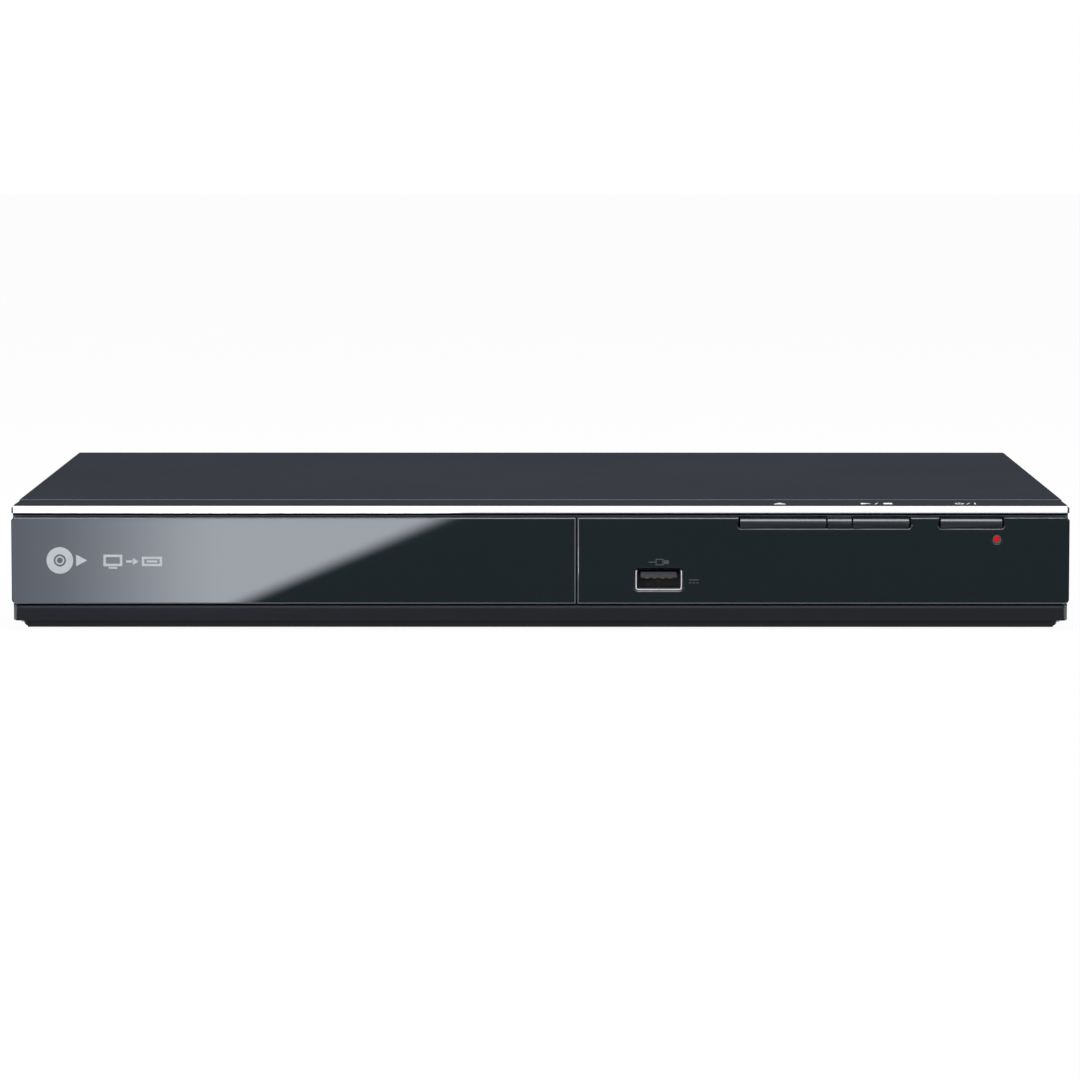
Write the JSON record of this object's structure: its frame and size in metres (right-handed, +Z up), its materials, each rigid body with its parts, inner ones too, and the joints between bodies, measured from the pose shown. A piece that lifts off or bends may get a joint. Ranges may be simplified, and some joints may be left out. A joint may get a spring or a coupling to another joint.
{
  "type": "disc player",
  "caption": "Slim black disc player: steel cover, bright trim strip, glossy front with a sliding disc tray, keys, USB socket and standby lamp.",
  "frame": {"origin": "on the floor, in the middle of the footprint (front face to rear sockets, side to side)", "axes": "+X to the right as seen from the front, +Y from the front face to the rear, +Z up"},
  "size_m": [0.325, 0.209, 0.0397],
  "materials": {
    "cover_paint": "dark grey painted steel, satin",
    "chassis_zinc": "zinc-plated sheet",
    "rear_paint": "matte black paint",
    "bezel_black": "fine satin black moulding",
    "trim_chrome": "bright trim",
    "gloss_black": "high gloss black",
    "key_black": "semi-gloss black",
    "lamp_red": "clear red lens",
    "foot_rubber": "matte black rubber",
    "screw_black": "black oxide",
    "screw_zinc": "yellow zinc",
    "board_green": "solder mask",
    "board_tan": "bare laminate",
    "part_black": "moulded epoxy",
    "steel": "bright steel",
    "gold": "gold flash",
    "white_plastic": "natural acetal",
    "grey_plastic": "glass-filled grey",
    "loader_plastic": "satin black",
    "amber_plastic": "yellow acetal",
    "rubber_black": "soft black rubber",
    "copper": "enamelled windings",
    "lens_glass": "coated lens",
    "sleeve_blue": "shrink sleeve",
    "cable_white": "flat cable",
    "magnet": "plated ferrite",
    "aluminium": "extruded",
    "tape_yellow": "winding tape"
  },
  "bodies": {
    "player": {"bottom_chassis": "chassis_zinc", "rear_panel": "rear_paint", "top_cover": "cover_paint", "front_bezel": "bezel_black", "trim_strip": "trim_chrome", "right_panel": "gloss_black", "feet": "foot_rubber", "case_screws": "screw_black", "inner_screws": "screw_zinc", "power_lamp_lens": "lamp_red", "key_spacer": "key_black", "front_board": "board_green", "tact_switches": "part_black", "standby_led": "lamp_red", "ir_receiver": "part_black", "usb_shell": "steel", "usb_tongue": "part_black", "usb_contacts": "gold", "loader_frame": "white_plastic", "clamper_bridge": "steel", "loading_motor": "steel", "drive_belt": "rubber_black", "main_board": "board_green", "main_chips": "part_black", "capacitors": "sleeve_blue", "board_connectors": "white_plastic", "hdmi_socket": "steel", "av_housing": "part_black", "av_barrels": "steel", "power_board": "board_tan", "transformer": "tape_yellow", "power_heat_sink": "aluminium", "line_filter": "copper", "inlet_socket": "part_black", "inlet_pins": "steel", "ribbon_cables": "cable_white"},
    "tray": {"disc_tray": "loader_plastic", "tray_door": "gloss_black"},
    "open_close": {"open_close_key": "key_black"},
    "play_stop": {"play_stop_key": "key_black"},
    "power": {"power_key": "key_black"},
    "drive": {"tray_drive_gear": "white_plastic"},
    "pulley": {"pulley_gear": "white_plastic"},
    "motor_shaft": {"motor_pulley": "gold"},
    "cam": {"cam_slider": "amber_plastic"},
    "lift": {"lift_frame": "grey_plastic", "grommets": "rubber_black", "traverse_plate": "steel", "spindle_motor": "copper", "guide_rods": "steel", "feed_motor": "steel"},
    "spindle": {"spindle_rotor": "steel", "turntable": "loader_plastic", "turntable_pad": "rubber_black"},
    "pickup": {"pickup_sled": "grey_plastic", "pickup_lens": "lens_glass"},
    "feed": {"feed_gear": "white_plastic"},
    "feed_shaft": {"feed_pinion": "gold"},
    "clamp": {"clamper": "white_plastic", "clamper_magnet": "magnet"}
  },
  "joints": [
    {"name": "tray_slide", "type": "slide", "parent": "player", "child": "tray", "axis": [0, -1, 0], "range_m": [0, 0.134]},
    {"name": "open_close_press", "type": "slide", "parent": "player", "child": "open_close", "axis": [0, 1, 0], "range_m": [0, 0.0006], "stiffness_N_per_m": 1500},
    {"name": "play_stop_press", "type": "slide", "parent": "player", "child": "play_stop", "axis": [0, 1, 0], "range_m": [0, 0.0006], "stiffness_N_per_m": 1500},
    {"name": "power_press", "type": "slide", "parent": "player", "child": "power", "axis": [0, 1, 0], "range_m": [0, 0.0006], "stiffness_N_per_m": 1500},
    {"name": "tray_drive_spin", "type": "hinge", "parent": "player", "child": "drive", "pos_m": [-0.0298, -0.0765, 0.012], "axis": [0, 0, 1], "range_deg": [-860, 5]},
    {"name": "pulley_spin", "type": "hinge", "parent": "player", "child": "pulley", "pos_m": [-0.0508, -0.0765, 0.012], "axis": [0, 0, 1], "range_deg": [-5, 2140]},
    {"name": "motor_spin", "type": "hinge", "parent": "player", "child": "motor_shaft", "pos_m": [-0.0838, -0.0765, 0.012], "axis": [0, 0, 1], "range_deg": [-5, 8540]},
    {"name": "traverse_lift", "type": "hinge", "parent": "player", "child": "lift", "pos_m": [-0.0758, 0.0535, 0.011], "axis": [1, 0, 0], "range_deg": [0, 3]},
    {"name": "cam_slide", "type": "slide", "parent": "player", "child": "cam", "axis": [1, 0, 0], "range_m": [-0.0265, 0.0005]},
    {"name": "turntable_spin", "type": "hinge", "parent": "lift", "child": "spindle", "pos_m": [-0.0758, -0.0325, 0.015], "axis": [0, 0, 1], "continuous": true},
    {"name": "clamper_spin", "type": "hinge", "parent": "player", "child": "clamp", "pos_m": [-0.0758, -0.0325, 0.028], "axis": [0, 0, 1], "continuous": true},
    {"name": "pickup_slide", "type": "slide", "parent": "lift", "child": "pickup", "axis": [0, 1, 0], "range_m": [0, 0.034]},
    {"name": "feed_spin", "type": "hinge", "parent": "lift", "child": "feed", "pos_m": [-0.1134, 0.0055, 0.009], "axis": [0, 0, 1], "range_deg": [-5, 470]},
    {"name": "feed_shaft_spin", "type": "hinge", "parent": "lift", "child": "feed_shaft", "pos_m": [-0.1184, -0.00541, 0.009], "axis": [0, 0, 1], "range_deg": [-1090, 5]}
  ],
  "couplings": [
    {"joint": "tray_drive_spin", "follows": "tray_slide", "rad_per_m": -111.11},
    {"joint": "pulley_spin", "follows": "tray_slide", "rad_per_m": 277.78},
    {"joint": "motor_spin", "follows": "tray_slide", "rad_per_m": 1111.1},
    {"joint": "cam_slide", "follows": "traverse_lift", "m_per_rad": -0.49656},
    {"joint": "clamper_spin", "follows": "turntable_spin", "ratio": 1},
    {"joint": "feed_spin", "follows": "pickup_slide", "rad_per_m": 238.1},
    {"joint": "feed_shaft_spin", "follows": "pickup_slide", "rad_per_m": -555.56}
  ]
}
